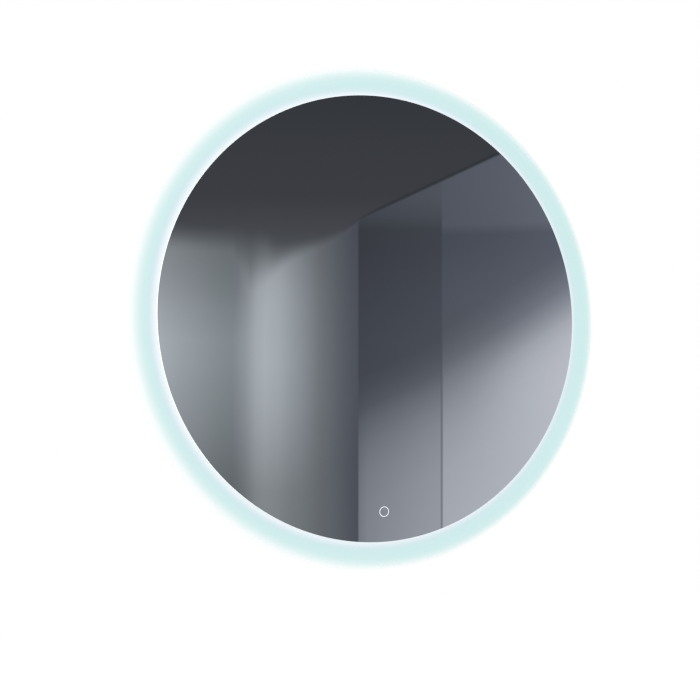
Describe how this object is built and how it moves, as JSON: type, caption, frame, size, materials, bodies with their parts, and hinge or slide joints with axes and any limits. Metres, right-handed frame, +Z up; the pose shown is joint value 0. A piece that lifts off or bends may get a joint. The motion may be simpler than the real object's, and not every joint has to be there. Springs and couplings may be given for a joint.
{
  "type": "lighted bathroom mirror",
  "caption": "Round frameless wall mirror with a lit acrylic ring standing out round its glass, a touch switch behind the glass and a hook-on hanging rail.",
  "frame": {"origin": "centre of the wall rail's row of screw slots, on the wall's face", "axes": "+Z up; +Y into the wall, so the glass faces -Y; +X to the right for someone facing the glass"},
  "size_m": [0.7999, 0.046, 0.8],
  "materials": {
    "silvered_glass": "polished",
    "safety_film": "matt film",
    "black_foam": "closed-cell foam",
    "black_rubber": "satin",
    "clear_acrylic": "polished, clear",
    "white_film": "matt",
    "aluminium": "mill finish",
    "white_ribbon": "matt",
    "diode": "glossy",
    "powder_coat": "satin powder coat",
    "zinc_steel": "zinc plated",
    "white_nylon": "matt",
    "brass": "plain",
    "white_case": "satin",
    "green_board": "solder mask",
    "transformer_tape": "tape over ferrite",
    "black_can": "sleeved",
    "black_case": "matt",
    "white_guide": "translucent",
    "brown_wire": "satin",
    "blue_wire": "satin",
    "earth_wire": "satin, green and yellow",
    "white_lead": "satin"
  },
  "bodies": {
    "wall_rail": {"wall_rail": "aluminium"},
    "mirror_unit": {"mirror_glass": "silvered_glass", "safety_film": "safety_film", "glass_tape": "black_foam", "edge_gasket": "black_rubber", "light_ring": "clear_acrylic", "ring_reflector": "white_film", "led_hoop": "aluminium", "hoop_joiner": "aluminium", "led_strip": "white_ribbon", "leds": "diode", "chassis_pan": "powder_coat", "service_cover": "powder_coat", "ring_screws": "zinc_steel", "ring_nuts": "zinc_steel", "hoop_screws": "zinc_steel", "hanger_screws": "zinc_steel", "cover_screws": "zinc_steel", "block_screws": "zinc_steel", "driver_nuts": "zinc_steel", "earth_nut": "zinc_steel", "backing_bar": "zinc_steel", "earth_terminal": "zinc_steel", "hanger_rail": "aluminium", "wall_bumpers": "black_rubber", "cable_grommet": "black_rubber", "terminal_block": "white_nylon", "terminal_screws": "brass", "driver_tray": "white_case", "driver_lid": "white_case", "driver_board": "green_board", "touch_board": "green_board", "transformer": "transformer_tape", "capacitors": "black_can", "touch_case": "black_case", "icon_light_guide": "white_guide", "touch_sensor": "brass", "cable_clip": "white_nylon", "live_lead": "brown_wire", "neutral_lead": "blue_wire", "earth_lead": "earth_wire", "light_lead": "white_lead", "switch_lead": "white_lead"}
  },
  "joints": [
    {"name": "lift_off", "type": "slide", "parent": "wall_rail", "child": "mirror_unit", "axis": [0, 0, 1], "range_m": [0, 0.016]}
  ]
}
